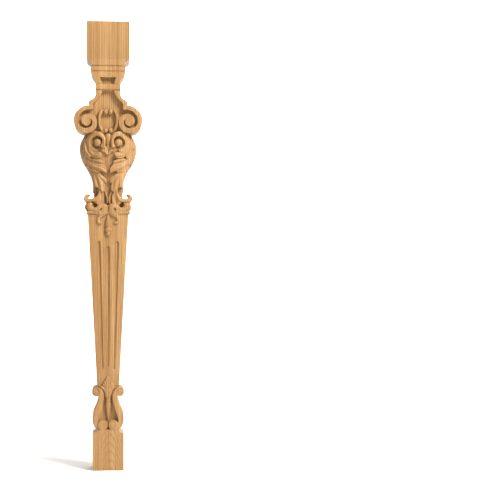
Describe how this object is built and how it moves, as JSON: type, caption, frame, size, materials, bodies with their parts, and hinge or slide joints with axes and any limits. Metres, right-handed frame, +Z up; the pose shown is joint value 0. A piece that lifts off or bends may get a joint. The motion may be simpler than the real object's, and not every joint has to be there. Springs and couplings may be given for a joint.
{
  "type": "carved baluster",
  "caption": "Carved oak stair baluster with a fluted square taper, a leaf-carved bulb, side volutes, a lyre above its square foot and a square top block.",
  "frame": {"origin": "centre of the square foot's underside, at floor level", "axes": "+Z up the baluster to the top block, -Y towards the carved front, +X to the right seen from the front"},
  "size_m": [0.137, 0.09, 0.9],
  "materials": {
    "oak": "satin"
  },
  "bodies": {
    "root": {"baluster": "oak"}
  },
  "joints": []
}
